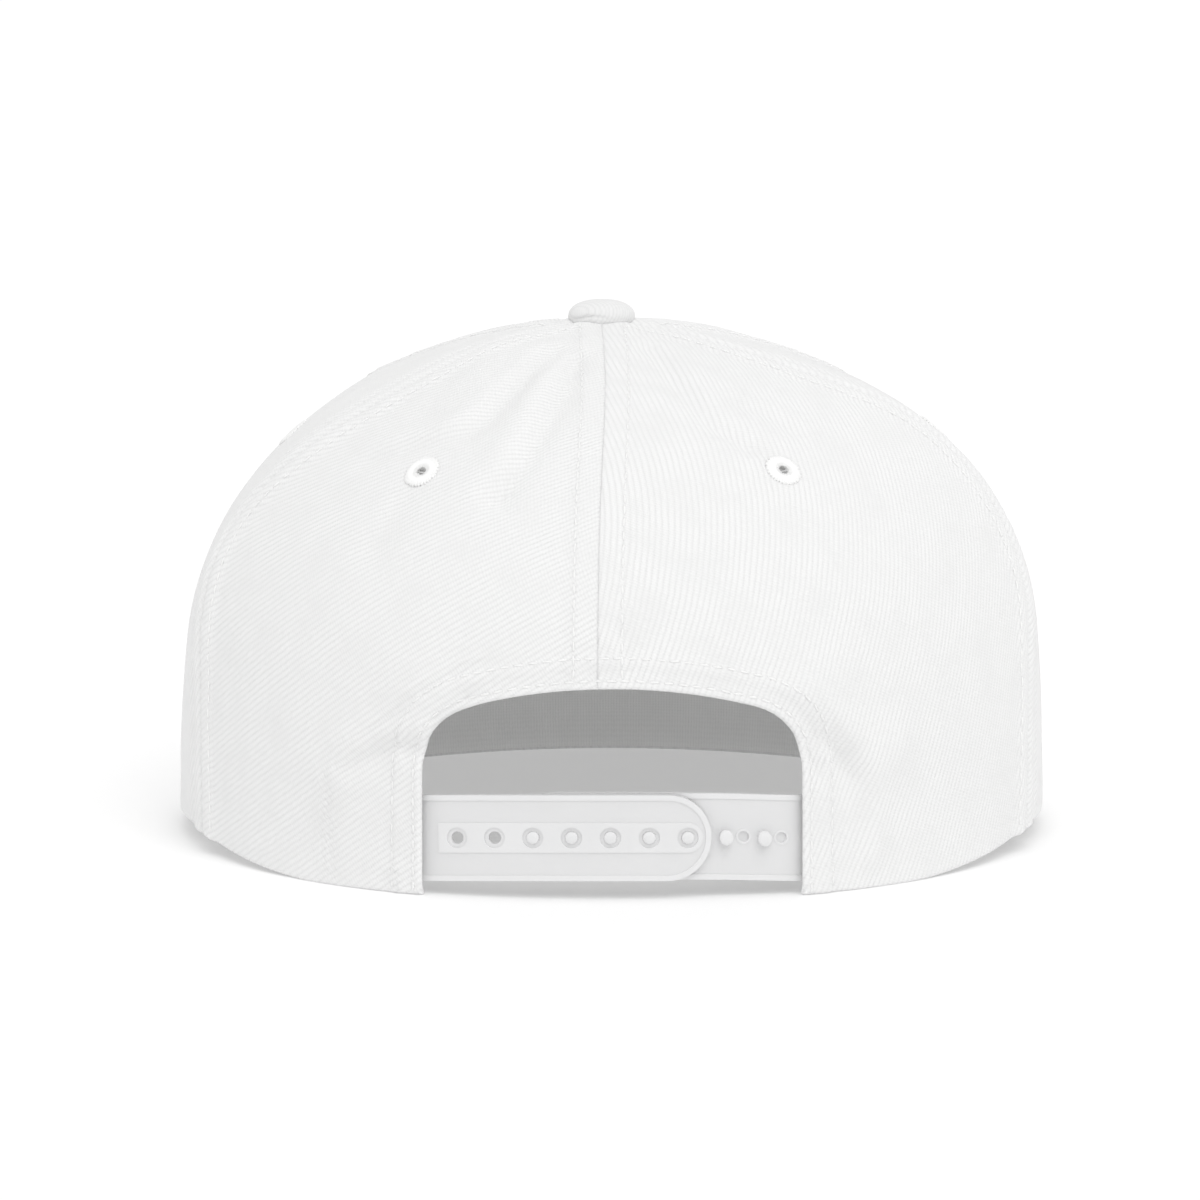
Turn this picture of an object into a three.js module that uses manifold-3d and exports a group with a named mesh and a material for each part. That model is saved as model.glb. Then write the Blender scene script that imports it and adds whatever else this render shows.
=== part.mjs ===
// A six-panel snapback cap with a flat visor, in millimetres, +Z up.
// The visor points along -Y and the closing straps are at +Y. The wearer's left is +X.
// Azimuths are in degrees round the crown, 0 at the back and positive towards the wearer's left.

import * as THREE from 'three';
import Module from 'manifold-3d';
import { mergeVertices } from 'three/addons/utils/BufferGeometryUtils.js';

const wasm = await Module();
wasm.setup();

// Driving dimensions, in millimetres and degrees
const gap = 0.3;                    // air left between pieces that touch
const crownHalfWidth = 96.5;
const crownHalfLength = 96.2;
const crownHeight = 112.1;          // table to the top of the cloth
const clothWall = 1.6;
const planPower = 1.92;             // 2 is an ellipse in plan
const sidePower = 1.744;            // shape of the upper curve of the back and sides
const topPower = 3.71;
const frontSidePower = 1.9;         // the stiffened front stands more upright
const frontTopPower = 4.1;
const topLean = 0.019;              // share by which the walls lean in at the top
const frontFrom = 95;               // azimuths where the front shape starts and is full
const frontFull = 150;
const strapPull = 6;                // how far the straps draw the back in
const strapPullSpan = 24;           // degrees
const strapPullHeight = 24;
const apexShift = 2.2;              // the button sits a little to the wearer's left

const archHalfWidth = 39.8;         // opening over the straps
const archHeight = 45.3;
const archCrownRadius = 102;
const archCornerRadius = 14;

const strapWidth = 18.3;
const strapThickness = 1.2;
const strapBottom = 3.9;
const strapHidden = 13;             // length sewn in behind the cloth at each side
const strapDroop = 1.4;             // drop of the straps where they meet the cloth
const strapTipBeyond = 4.9;         // from the last hole or peg to the rounded tip
const holePitch = 8.05;
const holeCount = 7;
const holeRadius = 1.35;
const firstHole = -15.7;            // along the strap, from the middle of the back
const pegTopOver = 0.4;             // pegs stand this far above the outer strap
const pegsEngaged = 5;

const eyeletRadius = 4;
const eyeletBore = 1.2;
const eyeletRise = 0.9;
const eyeletBarrel = 0.7;           // thickness of the thread that lines the hole

const buttonRadius = 7.4;
const buttonHeight = 4.9;
const buttonStemRadius = 3.1;
const buttonStemLength = 4;

const visorReach = 68;              // from the crown's front edge to the visor's tip
const visorHalfWidth = 94;
const visorThickness = 3.6;
const visorPower = 2.4;
const visorEdge = 0.9;              // rounding of the outer edge
const visorTuck = 1.2;              // how far the visor runs in past the cloth

const sweatbandHeight = 30;
const sweatbandWall = 1.2;
const sweatbandEnd = 29;            // azimuth of its ends, just behind the arch's sides
const sweatbandLift = 1;

const foldHeight = 1.5;             // tallest of the soft folds in the table below
const dentDepth = 3;                // deepest of the dents in the table below

// Height of the rim, as a share of the visor's seat, by azimuth on either side
const rimRows = [
  { azimuth: 0, lift: 0.06 },
  { azimuth: 25, lift: 0.04 },
  { azimuth: 42, lift: 0 },
  { azimuth: 57, lift: 0.45 },
  { azimuth: 70, lift: 1.08 },
  { azimuth: 84, lift: 1.15 },
  { azimuth: 100, lift: 1 },
  { azimuth: 180, lift: 1 },
];

// Azimuth of each seam, by height as a share of the crown's height
const seamRows = [
  { height: 0, back: 1.9, left: 68, right: -70, frontLeft: 120, frontRight: -120, front: 180 },
  { height: 0.3, back: 1.9, left: 70, right: -72, frontLeft: 120, frontRight: -120, front: 180 },
  { height: 0.6, back: 1.9, left: 73, right: -75, frontLeft: 121, frontRight: -121, front: 180 },
  { height: 0.8, back: 1.7, left: 69, right: -73, frontLeft: 121, frontRight: -121, front: 180 },
  { height: 0.92, back: 1.2, left: 63, right: -65, frontLeft: 120, frontRight: -120, front: 180 },
  { height: 1, back: 0.5, left: 59, right: -59, frontLeft: 120, frontRight: -120, front: 180 },
];

// Soft folds: ridges or valleys between two places on the crown, given by azimuth and height.
// rise is a share of foldHeight and width a share of the crown's half width.
const foldRows = [
  { azimuthA: 22, heightA: 0.97, azimuthB: 18, heightB: 0.8, rise: 0.7, width: 0.07 },
  { azimuthA: 50, heightA: 0.96, azimuthB: 33, heightB: 0.85, rise: 0.6, width: 0.07 },
  { azimuthA: 48, heightA: 0.77, azimuthB: 36, heightB: 0.83, rise: 0.5, width: 0.05 },
  { azimuthA: 71, heightA: 0.76, azimuthB: 73, heightB: 0.45, rise: 0.9, width: 0.13 },
  { azimuthA: -24, heightA: 0.97, azimuthB: -21, heightB: 0.83, rise: 0.6, width: 0.07 },
  { azimuthA: -72, heightA: 0.82, azimuthB: -77, heightB: 0.5, rise: 1.5, width: 0.18 },
  { azimuthA: -27, heightA: 0.4, azimuthB: -38, heightB: 0.25, rise: 0.9, width: 0.07 },
  { azimuthA: 27, heightA: 0.4, azimuthB: 38, heightB: 0.22, rise: 0.5, width: 0.07 },
  { azimuthA: 112, heightA: 0.85, azimuthB: 100, heightB: 0.6, rise: 0.6, width: 0.1 },
  { azimuthA: -108, heightA: 0.85, azimuthB: -98, heightB: 0.6, rise: 0.5, width: 0.1 },
];

// Dents: depth is a share of dentDepth, across and up are shares of the crown's half width
const dentRows = [
  { azimuth: 76, height: 0.72, depth: 0.55, across: 0.5, up: 0.2 },
  { azimuth: 31, height: 0.28, depth: 0.35, across: 0.1, up: 0.13 },
  { azimuth: -31, height: 0.26, depth: 0.35, across: 0.1, up: 0.13 },
  { azimuth: 112, height: 0.35, depth: 0.5, across: 0.3, up: 0.3 },
  { azimuth: -112, height: 0.35, depth: 0.5, across: 0.3, up: 0.3 },
];

// Where the ventilation eyelets are sewn, one in each panel
const eyeletRows = [
  { name: 'back_left_eyelet', panel: 'back_left_panel', azimuth: 34.5, height: 0.771 },
  { name: 'back_right_eyelet', panel: 'back_right_panel', azimuth: -30.6, height: 0.774 },
  { name: 'side_left_eyelet', panel: 'side_left_panel', azimuth: 97, height: 0.77 },
  { name: 'side_right_eyelet', panel: 'side_right_panel', azimuth: -97, height: 0.77 },
  { name: 'front_left_eyelet', panel: 'front_left_panel', azimuth: 148, height: 0.8 },
  { name: 'front_right_eyelet', panel: 'front_right_panel', azimuth: -148, height: 0.8 },
];

// The six panels, each between two seams of the table above
const panelRows = [
  { name: 'back_left_panel', from: 'back', to: 'left' },
  { name: 'side_left_panel', from: 'left', to: 'frontLeft' },
  { name: 'front_left_panel', from: 'frontLeft', to: 'front' },
  { name: 'front_right_panel', from: 'front', to: 'frontRight' },
  { name: 'side_right_panel', from: 'frontRight', to: 'right' },
  { name: 'back_right_panel', from: 'right', to: 'back' },
];

// How finely the curved pieces are divided
const panelColumns = 12;
const panelLines = 16;
const visorColumns = 36;
const visorLines = 7;
const bandColumns = 44;
const strapColumns = 25;
const roundSides = 12;
const holeSides = 10;

const degree = Math.PI / 180;
const visorSeat = visorThickness + gap;
const { lerp, smoothstep, clamp } = THREE.MathUtils;

// Value of one column of a table between its rows, on a smooth curve through them
function read(rows, key, at, column) {
  const last = rows.length - 1;
  let i = 0;
  while (i < last - 1 && at > rows[i + 1][key]) i += 1;
  const slope = (a, b) => (rows[b][column] - rows[a][column]) / (rows[b][key] - rows[a][key]);
  const step = rows[i + 1][key] - rows[i][key];
  const here = slope(i, i + 1);
  const before = i > 0 ? slope(i - 1, i) : here;
  const after = i + 1 < last ? slope(i + 1, i + 2) : here;
  const startSlope = before * here > 0 ? (before + here) / 2 : 0;
  const endSlope = after * here > 0 ? (after + here) / 2 : 0;
  const t = clamp((at - rows[i][key]) / step, 0, 1);
  const rise = rows[i + 1][column] - rows[i][column];
  return rows[i][column] + step * startSlope * (t ** 3 - 2 * t ** 2 + t)
    + step * endSlope * (t ** 3 - t ** 2) + rise * (3 * t ** 2 - 2 * t ** 3);
}

function planRadius(azimuth) {
  const across = Math.abs(Math.sin(azimuth * degree)) / crownHalfWidth;
  const along = Math.abs(Math.cos(azimuth * degree)) / crownHalfLength;
  return (across ** planPower + along ** planPower) ** (-1 / planPower);
}

// Azimuth brought between -180 and 180
function wrap(azimuth) {
  return THREE.MathUtils.euclideanModulo(azimuth + 180, 360) - 180;
}

// The crown's smooth outer form, before folds and dents. height is a share, 0 rim to 1 top.
function crownForm(azimuth, height) {
  const side = Math.abs(wrap(azimuth));
  const front = smoothstep(side, frontFrom, frontFull);
  const rise = clamp(height, 0, 1) ** (lerp(topPower, frontTopPower, front) / 2);
  const shrink = (1 - rise ** 2) ** (1 / lerp(sidePower, frontSidePower, front));
  const lift = read(rimRows, 'azimuth', side, 'lift') * visorSeat;
  const z = lift + (crownHeight - lift) * height;
  const full = planRadius(azimuth);
  const pull = strapPull * Math.exp(-((side / strapPullSpan) ** 2 + (z / strapPullHeight) ** 2) / 2);
  const radius = full * shrink * (1 - topLean * height) - pull * shrink;
  const shift = apexShift * (1 - (radius / full) ** 2) ** 6;
  return new THREE.Vector3(
    radius * Math.sin(azimuth * degree) + shift, radius * Math.cos(azimuth * degree), z);
}

// Way out of a surface at a place, from two short steps on it
function outward(surface, azimuth, height) {
  const turn = 0.4;
  const climb = 0.004;
  const low = Math.min(height, 1 - 2 * climb);
  const around = surface(azimuth + turn, low).sub(surface(azimuth - turn, low));
  const up = surface(azimuth, low + climb).sub(surface(azimuth, Math.max(low - climb, 0)));
  return up.cross(around).normalize();
}

// Distance of a place from the stretch between two others, all on the crown's form
function distanceToStretch(place, start, end) {
  const near = new THREE.Line3(start, end).closestPointToPoint(place, true, new THREE.Vector3());
  return near.distanceTo(place);
}

const folds = foldRows.map((row) => ({
  start: crownForm(row.azimuthA, row.heightA),
  end: crownForm(row.azimuthB, row.heightB),
  rise: row.rise * foldHeight,
  width: row.width * crownHalfWidth,
}));

// The crown's outer surface with its folds and dents
function crownSurface(azimuth, height) {
  const place = crownForm(azimuth, height);
  let rise = 0;
  for (const fold of folds) {
    rise += fold.rise * Math.exp(-((distanceToStretch(place, fold.start, fold.end) / fold.width) ** 2));
  }
  for (const dent of dentRows) {
    const across = wrap(azimuth - dent.azimuth) * degree / dent.across;
    const up = (height - dent.height) * crownHeight / crownHalfWidth / dent.up;
    rise -= dent.depth * dentDepth * Math.exp(-(across ** 2) - up ** 2);
  }
  return place.addScaledVector(outward(crownForm, azimuth, height), rise);
}

// A place at a depth under the crown's outer surface
function underCrown(azimuth, height, depth) {
  const place = crownSurface(azimuth, height);
  return place.addScaledVector(outward(crownSurface, azimuth, height), -depth);
}

// Closed geometry from points and triangles, with its faces pointing out
function closedGeometry(points, triangles) {
  const geometry = new THREE.BufferGeometry();
  let volume = 0;
  for (const [a, b, c] of triangles) {
    volume += points[a].dot(new THREE.Vector3().crossVectors(points[b], points[c]));
  }
  const facing = volume > 0 ? triangles : triangles.map(([a, b, c]) => [a, c, b]);
  geometry.setAttribute('position', new THREE.Float32BufferAttribute(points.flatMap((p) => p.toArray()), 3));
  geometry.setIndex(facing.flat());
  return geometry;
}

// Wall between an outer and an inner sheet, each an array of lines of points
function wallGeometry(outer, inner) {
  const lines = outer.length;
  const columns = outer[0].length;
  const points = [...outer.flat(), ...inner.flat()];
  const at = (sheet, line, column) => sheet * lines * columns + line * columns + column;
  const triangles = [];
  const quad = (a, b, c, d) => triangles.push([a, b, c], [a, c, d]);
  for (let i = 0; i + 1 < lines; i += 1) {
    for (let j = 0; j + 1 < columns; j += 1) {
      quad(at(0, i, j), at(0, i, j + 1), at(0, i + 1, j + 1), at(0, i + 1, j));
      quad(at(1, i, j), at(1, i + 1, j), at(1, i + 1, j + 1), at(1, i, j + 1));
    }
    quad(at(0, i, 0), at(0, i + 1, 0), at(1, i + 1, 0), at(1, i, 0));
    quad(at(0, i + 1, columns - 1), at(0, i, columns - 1), at(1, i, columns - 1), at(1, i + 1, columns - 1));
  }
  for (let j = 0; j + 1 < columns; j += 1) {
    quad(at(0, 0, j + 1), at(0, 0, j), at(1, 0, j), at(1, 0, j + 1));
    quad(at(0, lines - 1, j), at(0, lines - 1, j + 1), at(1, lines - 1, j + 1), at(1, lines - 1, j));
  }
  return closedGeometry(points, triangles);
}

// Array of count + 1 values made by a function of a share from 0 to 1
function spread(count, make) {
  return Array.from({ length: count + 1 }, (_, i) => make(i / count));
}

function bodyOf(geometry) {
  const bare = geometry.clone();
  bare.deleteAttribute('normal');
  bare.deleteAttribute('uv');
  const merged = mergeVertices(bare);
  return new wasm.Manifold(new wasm.Mesh({
    numProp: 3,
    vertProperties: new Float32Array(merged.attributes.position.array),
    triVerts: new Uint32Array(merged.index.array),
  }));
}

function geometryOf(body) {
  const mesh = body.getMesh();
  const geometry = new THREE.BufferGeometry();
  geometry.setAttribute('position', new THREE.BufferAttribute(mesh.vertProperties, 3));
  geometry.setIndex(new THREE.BufferAttribute(mesh.triVerts, 1));
  return geometry;
}

// Geometry made along +Z, turned to point out of the crown and set at a place
function setOn(geometry, place, direction) {
  const turn = new THREE.Quaternion().setFromUnitVectors(new THREE.Vector3(0, 0, 1), direction);
  return geometry.applyQuaternion(turn).translate(place.x, place.y, place.z);
}

// Solid turned about +Z from a profile of [radius, height] pairs that closes on itself
function turned(profile, sides) {
  const points = [...profile, profile[0]].map(([radius, z]) => new THREE.Vector2(radius, z));
  return new THREE.LatheGeometry(points, sides).rotateX(Math.PI / 2);
}

// Outline of the opening over the straps: upright sides, round corners and a shallow curved top
function archGeometry() {
  const cornerX = archHalfWidth - archCornerRadius;
  const crownZ = archHeight - archCrownRadius;
  const reach = archCrownRadius - archCornerRadius;
  const cornerZ = crownZ + Math.sqrt(reach ** 2 - cornerX ** 2);
  const turn = Math.atan2(cornerZ - crownZ, cornerX);
  const below = -2 * visorSeat;
  const shape = new THREE.Shape();
  shape.moveTo(-archHalfWidth, below);
  shape.lineTo(archHalfWidth, below);
  shape.absarc(cornerX, cornerZ, archCornerRadius, 0, turn, false);
  shape.absarc(0, crownZ, archCrownRadius, turn, Math.PI - turn, false);
  shape.absarc(-cornerX, cornerZ, archCornerRadius, Math.PI - turn, Math.PI, false);
  const geometry = new THREE.ExtrudeGeometry(shape, {
    depth: 2 * crownHalfLength, bevelEnabled: false, curveSegments: 8,
  });
  return geometry.rotateX(Math.PI / 2).translate(0, 2 * crownHalfLength, 0);
}

// Height share at which the crown closes in to the hole for the button's stem
function stemHoleHeight(azimuth) {
  const front = smoothstep(Math.abs(wrap(azimuth)), frontFrom, frontFull);
  const shrink = (buttonStemRadius + gap) / planRadius(azimuth);
  const rise = Math.sqrt(1 - shrink ** lerp(sidePower, frontSidePower, front));
  return rise ** (2 / lerp(topPower, frontTopPower, front));
}

// One cloth panel from the rim to the button, between the middles of its two seams
function panelSheet(panel, depth) {
  return spread(panelLines, (climb) => spread(panelColumns, (across) => {
    const rough = Math.sin(climb * Math.PI / 2);
    const from = read(seamRows, 'height', rough, panel.from);
    let to = read(seamRows, 'height', rough, panel.to);
    if (to < from) to += 360;
    const height = rough * stemHoleHeight(lerp(from, to, across));
    const middle = crownForm((from + to) / 2, height);
    const half = gap / 2 / Math.hypot(middle.x - apexShift, middle.y) / degree;
    return underCrown(lerp(from + half, to - half, across), height, depth);
  }));
}

function eyeletHole(row) {
  const place = underCrown(row.azimuth, row.height, clothWall / 2);
  const radius = eyeletBore + eyeletBarrel + gap;
  const drill = new THREE.CylinderGeometry(radius, radius, 6 * clothWall, holeSides).rotateX(Math.PI / 2);
  return setOn(drill, place, outward(crownSurface, row.azimuth, row.height));
}

function panelGeometry(panel) {
  let body = bodyOf(wallGeometry(panelSheet(panel, 0), panelSheet(panel, clothWall)));
  if (panel.from === 'back' || panel.to === 'back') body = body.subtract(bodyOf(archGeometry()));
  for (const row of eyeletRows.filter((eyelet) => eyelet.panel === panel.name)) {
    body = body.subtract(bodyOf(eyeletHole(row)));
  }
  return geometryOf(body);
}

// Sewn eyelet: a raised ring of thread on the cloth that turns down through the hole
function eyeletGeometry(row) {
  const barrel = eyeletBore + eyeletBarrel;
  const ring = turned([
    [eyeletBore, -clothWall],
    [barrel, -clothWall],
    [barrel, gap],
    [eyeletRadius, gap],
    [eyeletRadius, gap + eyeletRise / 2],
    [eyeletRadius - eyeletRise, gap + eyeletRise],
    [eyeletBore + eyeletRise / 3, gap + eyeletRise],
    [eyeletBore, gap + eyeletRise / 2],
  ], roundSides);
  return setOn(ring, crownSurface(row.azimuth, row.height), outward(crownSurface, row.azimuth, row.height));
}

// Cloth-covered button with a stem that passes through the top of the crown
function buttonGeometry() {
  const base = crownHeight + gap;
  const dome = spread(5, (share) => {
    const angle = share * Math.PI / 2;
    return [buttonRadius * Math.cos(angle) ** 0.8, base + buttonHeight * (0.42 + 0.58 * Math.sin(angle))];
  });
  dome[dome.length - 1][0] = 0;
  return turned([
    [0, base - buttonStemLength],
    [buttonStemRadius, base - buttonStemLength],
    [buttonStemRadius, base],
    [buttonRadius * 0.86, base],
    ...dome,
  ], 2 * roundSides).translate(apexShift, 0, 0);
}

// Flat visor: its back edge follows the crown's rim and lies under it
function visorGeometry() {
  const reach = crownHalfLength + visorReach;
  const start = 180 - Math.asin(clamp(visorHalfWidth / crownHalfWidth, 0, 1)) / degree;
  const cornerY = crownForm(start, 0).y;
  const rim = (share) => crownForm(lerp(start, 360 - start, share), 0).setZ(0);
  const hem = (share) => {
    const place = rim(share);
    return place.setLength(place.length() - clothWall - visorTuck);
  };
  const edge = (share) => {
    const angle = share * Math.PI;
    const side = Math.sign(Math.cos(angle)) * Math.abs(Math.cos(angle)) ** (2 / visorPower);
    const out = Math.sin(angle) ** (2 / visorPower);
    return new THREE.Vector3(rim(0).x * side, cornerY - (reach + cornerY) * out, 0);
  };
  // The last lines lie close together, where the edge is rounded
  const sheet = (way) => spread(visorLines, (out) => spread(visorColumns, (across) => {
    const inner = hem(across);
    const outer = edge(across);
    const length = inner.distanceTo(outer);
    const fromEdge = out < 1 ? Math.max(length * (1 - out) ** 2, visorEdge * (1 - out)) : 0;
    const sunk = visorEdge - Math.sqrt(visorEdge ** 2 - Math.max(visorEdge - fromEdge, 0) ** 2);
    const middle = visorThickness / 2;
    return inner.lerp(outer, 1 - fromEdge / length).setZ(middle + way * (middle - sunk));
  }));
  return wallGeometry(sheet(1), sheet(-1));
}

// Sweatband: a strip inside the rim, open at the back and lying over the straps' sewn ends
function sweatbandGeometry() {
  const sheet = (depth) => spread(3, (climb) => spread(bandColumns, (across) => {
    const azimuth = lerp(sweatbandEnd, 360 - sweatbandEnd, across);
    const side = Math.abs(wrap(azimuth));
    const strapEnd = (archHalfWidth + strapHidden) / crownHalfLength / degree;
    const over = 1 - smoothstep(side, strapEnd + 3, strapEnd + 14);
    const inset = clothWall + gap + over * (strapThickness + 2 * gap);
    const height = lerp(sweatbandLift, sweatbandHeight, climb) / crownHeight;
    return underCrown(azimuth, height, inset + depth);
  }));
  return wallGeometry(sheet(0), sheet(sweatbandWall));
}

const strapRadius = crownHalfLength - strapPull - clothWall;
const strapMiddle = strapBottom + strapWidth / 2;
const archReach = strapRadius * Math.asin(archHalfWidth / strapRadius);

// A place in the straps' run: along the back, up from the strap's middle, and in from the cloth
function strapPlace(along, up, depth) {
  const middle = strapMiddle - strapDroop * (along / archReach) ** 2;
  return underCrown(along / strapRadius / degree, (middle + up) / crownHeight, clothWall + gap + depth);
}

function strapOutward(along) {
  return outward(crownSurface, along / strapRadius / degree, strapMiddle / crownHeight);
}

// Strap from its sewn end to its round tip, at a depth that may change along it
function strapSheet(tip, sewn, depthAt) {
  const round = strapWidth / 2;
  const way = Math.sign(sewn - tip);
  return spread(strapColumns, (share) => {
    const run = Math.abs(sewn - tip) * (1 - Math.cos(share * Math.PI / 2));
    const half = run < round ? Math.sqrt(round ** 2 - (round - run) ** 2) : round;
    const along = tip + way * run;
    return spread(4, (up) => strapPlace(along, Math.max(half, 0.15 * round) * (2 * up - 1), depthAt(along)));
  });
}

function strapEnd(side) {
  return side * (archReach + strapHidden);
}

// Places of the holes in the outer strap, and of the pegs on the inner one
const holePlaces = Array.from({ length: holeCount }, (_, i) => firstHole + i * holePitch);
const pegPlaces = holePlaces.map((along) => along - (holeCount - pegsEngaged) * holePitch);

// Outer strap, sewn in at the wearer's left, with a row of holes
function outerStrapGeometry() {
  const tip = holePlaces[0] - strapTipBeyond;
  const sheet = (depth) => strapSheet(tip, strapEnd(1), () => depth);
  let body = bodyOf(wallGeometry(sheet(0), sheet(strapThickness)));
  for (const along of holePlaces) {
    const drill = new THREE.CylinderGeometry(holeRadius, holeRadius, 4 * strapThickness, holeSides);
    const place = strapPlace(along, 0, strapThickness / 2);
    body = body.subtract(bodyOf(setOn(drill.rotateX(Math.PI / 2), place, strapOutward(along))));
  }
  return geometryOf(body);
}

// Inner strap, sewn in at the wearer's right, with a row of pegs that snap into the holes
function innerStrapGeometry() {
  const tip = pegPlaces[pegPlaces.length - 1] + strapTipBeyond;
  const outerTip = holePlaces[0] - strapTipBeyond;
  const under = strapThickness + gap;
  const depthAt = (along) => under * smoothstep(along, strapEnd(-1) + strapHidden, outerTip - gap);
  const sheet = (depth) => strapSheet(tip, strapEnd(-1), (along) => depthAt(along) + depth);
  let body = bodyOf(wallGeometry(sheet(0), sheet(strapThickness)));
  const pegRadius = holeRadius - gap;
  const pegRise = gap + strapThickness + pegTopOver;
  const sunk = strapThickness / 2;
  for (const along of pegPlaces) {
    const peg = turned([
      [0, -sunk],
      [pegRadius, -sunk],
      [pegRadius, pegRise - pegRadius / 2],
      [pegRadius * 0.6, pegRise],
      [0, pegRise],
    ], holeSides);
    body = body.add(bodyOf(setOn(peg, strapPlace(along, 0, depthAt(along)), strapOutward(along))));
  }
  return geometryOf(body);
}

// Materials
const cloth = new THREE.MeshStandardMaterial({ color: 0xf3f3f2, roughness: 0.92, metalness: 0 });
const thread = new THREE.MeshStandardMaterial({ color: 0xf4f4f3, roughness: 0.7, metalness: 0 });
const bandCloth = new THREE.MeshStandardMaterial({ color: 0xeeeeec, roughness: 0.95, metalness: 0 });
const plastic = new THREE.MeshStandardMaterial({ color: 0xe2e2e3, roughness: 0.42, metalness: 0 });

const cap = new THREE.Group();

function add(name, geometry, material) {
  const mesh = new THREE.Mesh(geometry, material);
  mesh.name = name;
  cap.add(mesh);
}

for (const panel of panelRows) add(panel.name, panelGeometry(panel), cloth);
for (const row of eyeletRows) add(row.name, eyeletGeometry(row), thread);
add('button', buttonGeometry(), cloth);
add('visor', visorGeometry(), cloth);
add('sweatband', sweatbandGeometry(), bandCloth);
add('outer_strap', outerStrapGeometry(), plastic);
add('inner_strap', innerStrapGeometry(), plastic);

// The origin is the middle of the cap's bounding box, on the table
const bounds = new THREE.Box3().setFromObject(cap);
const middle = bounds.getCenter(new THREE.Vector3());
cap.position.set(-middle.x, -middle.y, -bounds.min.z);

export default cap;
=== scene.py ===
import math
import bpy
import numpy as np
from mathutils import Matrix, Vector, noise


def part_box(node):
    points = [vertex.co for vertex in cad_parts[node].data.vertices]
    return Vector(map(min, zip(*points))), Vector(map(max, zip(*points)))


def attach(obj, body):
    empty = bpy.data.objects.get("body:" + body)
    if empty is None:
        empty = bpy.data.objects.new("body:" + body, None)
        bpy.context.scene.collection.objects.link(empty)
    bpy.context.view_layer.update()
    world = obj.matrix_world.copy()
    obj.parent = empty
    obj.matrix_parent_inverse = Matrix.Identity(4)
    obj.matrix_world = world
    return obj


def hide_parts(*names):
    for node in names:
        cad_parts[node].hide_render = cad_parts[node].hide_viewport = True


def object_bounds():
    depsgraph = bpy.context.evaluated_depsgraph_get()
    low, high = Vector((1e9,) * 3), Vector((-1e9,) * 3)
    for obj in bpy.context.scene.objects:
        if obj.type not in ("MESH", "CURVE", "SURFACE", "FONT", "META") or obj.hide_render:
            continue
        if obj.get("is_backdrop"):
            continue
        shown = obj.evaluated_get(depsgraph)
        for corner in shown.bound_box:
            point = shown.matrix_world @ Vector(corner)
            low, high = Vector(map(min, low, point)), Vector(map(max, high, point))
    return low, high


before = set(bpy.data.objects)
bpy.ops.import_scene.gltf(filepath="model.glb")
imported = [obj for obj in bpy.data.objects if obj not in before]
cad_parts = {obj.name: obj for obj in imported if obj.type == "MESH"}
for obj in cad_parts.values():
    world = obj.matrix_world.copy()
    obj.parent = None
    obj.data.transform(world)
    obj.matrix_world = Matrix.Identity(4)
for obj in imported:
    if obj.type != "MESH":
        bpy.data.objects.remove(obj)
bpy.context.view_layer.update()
bpy.ops.object.select_all(action="DESELECT")

# Crown: six gores of white cotton twill, sewn edge to edge and pressed open, so each seam is a
# fine groove between two raised allowances. The back two are cut away in an arch over the straps,
# with a turned hem. The form is a rounded dome, drawn in a little by the straps at the back.
mm = 0.001
half_width, half_length, crown_height = 96.5 * mm, 96.2 * mm, 112.1 * mm
visor_seat = 3.9 * mm
plan_power = 1.92
side_power, top_power = 1.744, 3.71
front_side_power, front_top_power = 1.9, 4.1
front_from, front_full = 95, 150
top_lean = 0.019
strap_pull, strap_pull_span, strap_pull_height = 6 * mm, 24, 24 * mm
top_shift = 2.2 * mm
arch_half, arch_height, arch_top_radius, arch_corner = 39.8 * mm, 45.3 * mm, 102 * mm, 14 * mm
cloth_wall = 1.4 * mm
allowance = 5.0 * mm            # from a seam to its line of stitches
hem_near, hem_far = 1.7 * mm, 6.3 * mm   # the two lines of stitches round the arch

button_low, button_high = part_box("button")
axis = Vector(((button_low.x + button_high.x) / 2 - top_shift, (button_low.y + button_high.y) / 2, 0))

rim_azimuths = (0, 25, 42, 57, 70, 84, 100, 180)
rim_lifts = (0.06, 0.04, 0, 0.45, 1.08, 1.15, 1, 1)
seam_shares = (0, 0.3, 0.6, 0.8, 0.92, 1)
seam_azimuths = {
    "back": (1.9, 1.9, 1.9, 1.7, 1.2, 0.5),
    "left": (68, 70, 73, 66.5, 60.5, 58),
    "front_left": (120, 120, 121, 121, 120, 120),
    "front": (180, 180, 180, 180, 180, 180),
    "front_right": (240, 240, 239, 239, 240, 240),
    "right": (290, 288, 285, 287, 295, 301),
    "back_again": (361.9, 361.9, 361.9, 361.7, 361.2, 360.5),
}
# Soft folds from one place to another: azimuth, share of the height, azimuth, share, rise, width
folds = (
    (22, 0.97, 18, 0.8, 1.05 * mm, 6.8 * mm),
    (50, 0.96, 33, 0.85, 0.9 * mm, 6.8 * mm),
    (48, 0.77, 36, 0.83, 0.75 * mm, 4.8 * mm),
    (71, 0.76, 73, 0.45, 1.35 * mm, 12.5 * mm),
    (-24, 0.97, -21, 0.83, 0.9 * mm, 6.8 * mm),
    (-72, 0.82, -77, 0.5, 2.25 * mm, 17.4 * mm),
    (-27, 0.4, -38, 0.25, 1.35 * mm, 6.8 * mm),
    (27, 0.4, 38, 0.22, 0.75 * mm, 6.8 * mm),
    (112, 0.85, 100, 0.6, 0.9 * mm, 9.7 * mm),
    (-108, 0.85, -98, 0.6, 0.75 * mm, 9.7 * mm),
)
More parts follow.
